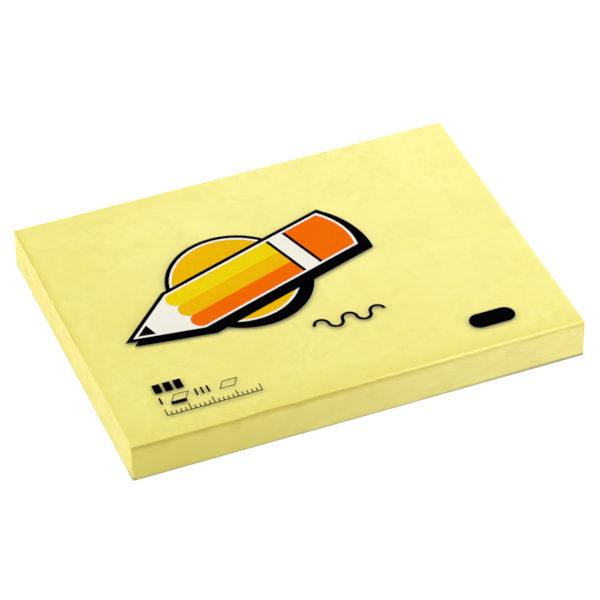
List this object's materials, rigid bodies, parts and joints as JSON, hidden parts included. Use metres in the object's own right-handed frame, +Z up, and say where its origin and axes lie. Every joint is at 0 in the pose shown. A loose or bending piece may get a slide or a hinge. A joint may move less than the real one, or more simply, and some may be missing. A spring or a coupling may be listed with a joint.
{
  "type": "sticky note pad",
  "caption": "Block of plain yellow sticky notes sealed in a folded clear film wrap, which is printed with a pencil emblem and small marks.",
  "frame": {"origin": "middle of the footprint, on the surface that the pad lies on", "axes": "+X along the long side of a note, to the right as the print is read; +Y to the edge where the notes are gummed; +Z up, out of the printed top"},
  "size_m": [0.1024, 0.0764, 0.0099],
  "materials": {
    "clear_film": "clear glossy film",
    "release_liner": "smooth coated paper",
    "gum": "low-tack adhesive",
    "yellow_paper": "uncoated coloured paper",
    "black_ink": "printed ink",
    "white_ink": "printed ink",
    "gold_ink": "printed ink",
    "yellow_ink": "printed ink",
    "orange_ink": "printed ink"
  },
  "bodies": {
    "root": {"clear_wrap": "clear_film", "backing_sheet": "release_liner", "adhesive_strip": "gum", "note_sheets": "yellow_paper", "print_black": "black_ink", "print_white": "white_ink", "print_gold": "gold_ink", "print_yellow": "yellow_ink", "print_orange": "orange_ink"}
  },
  "joints": []
}
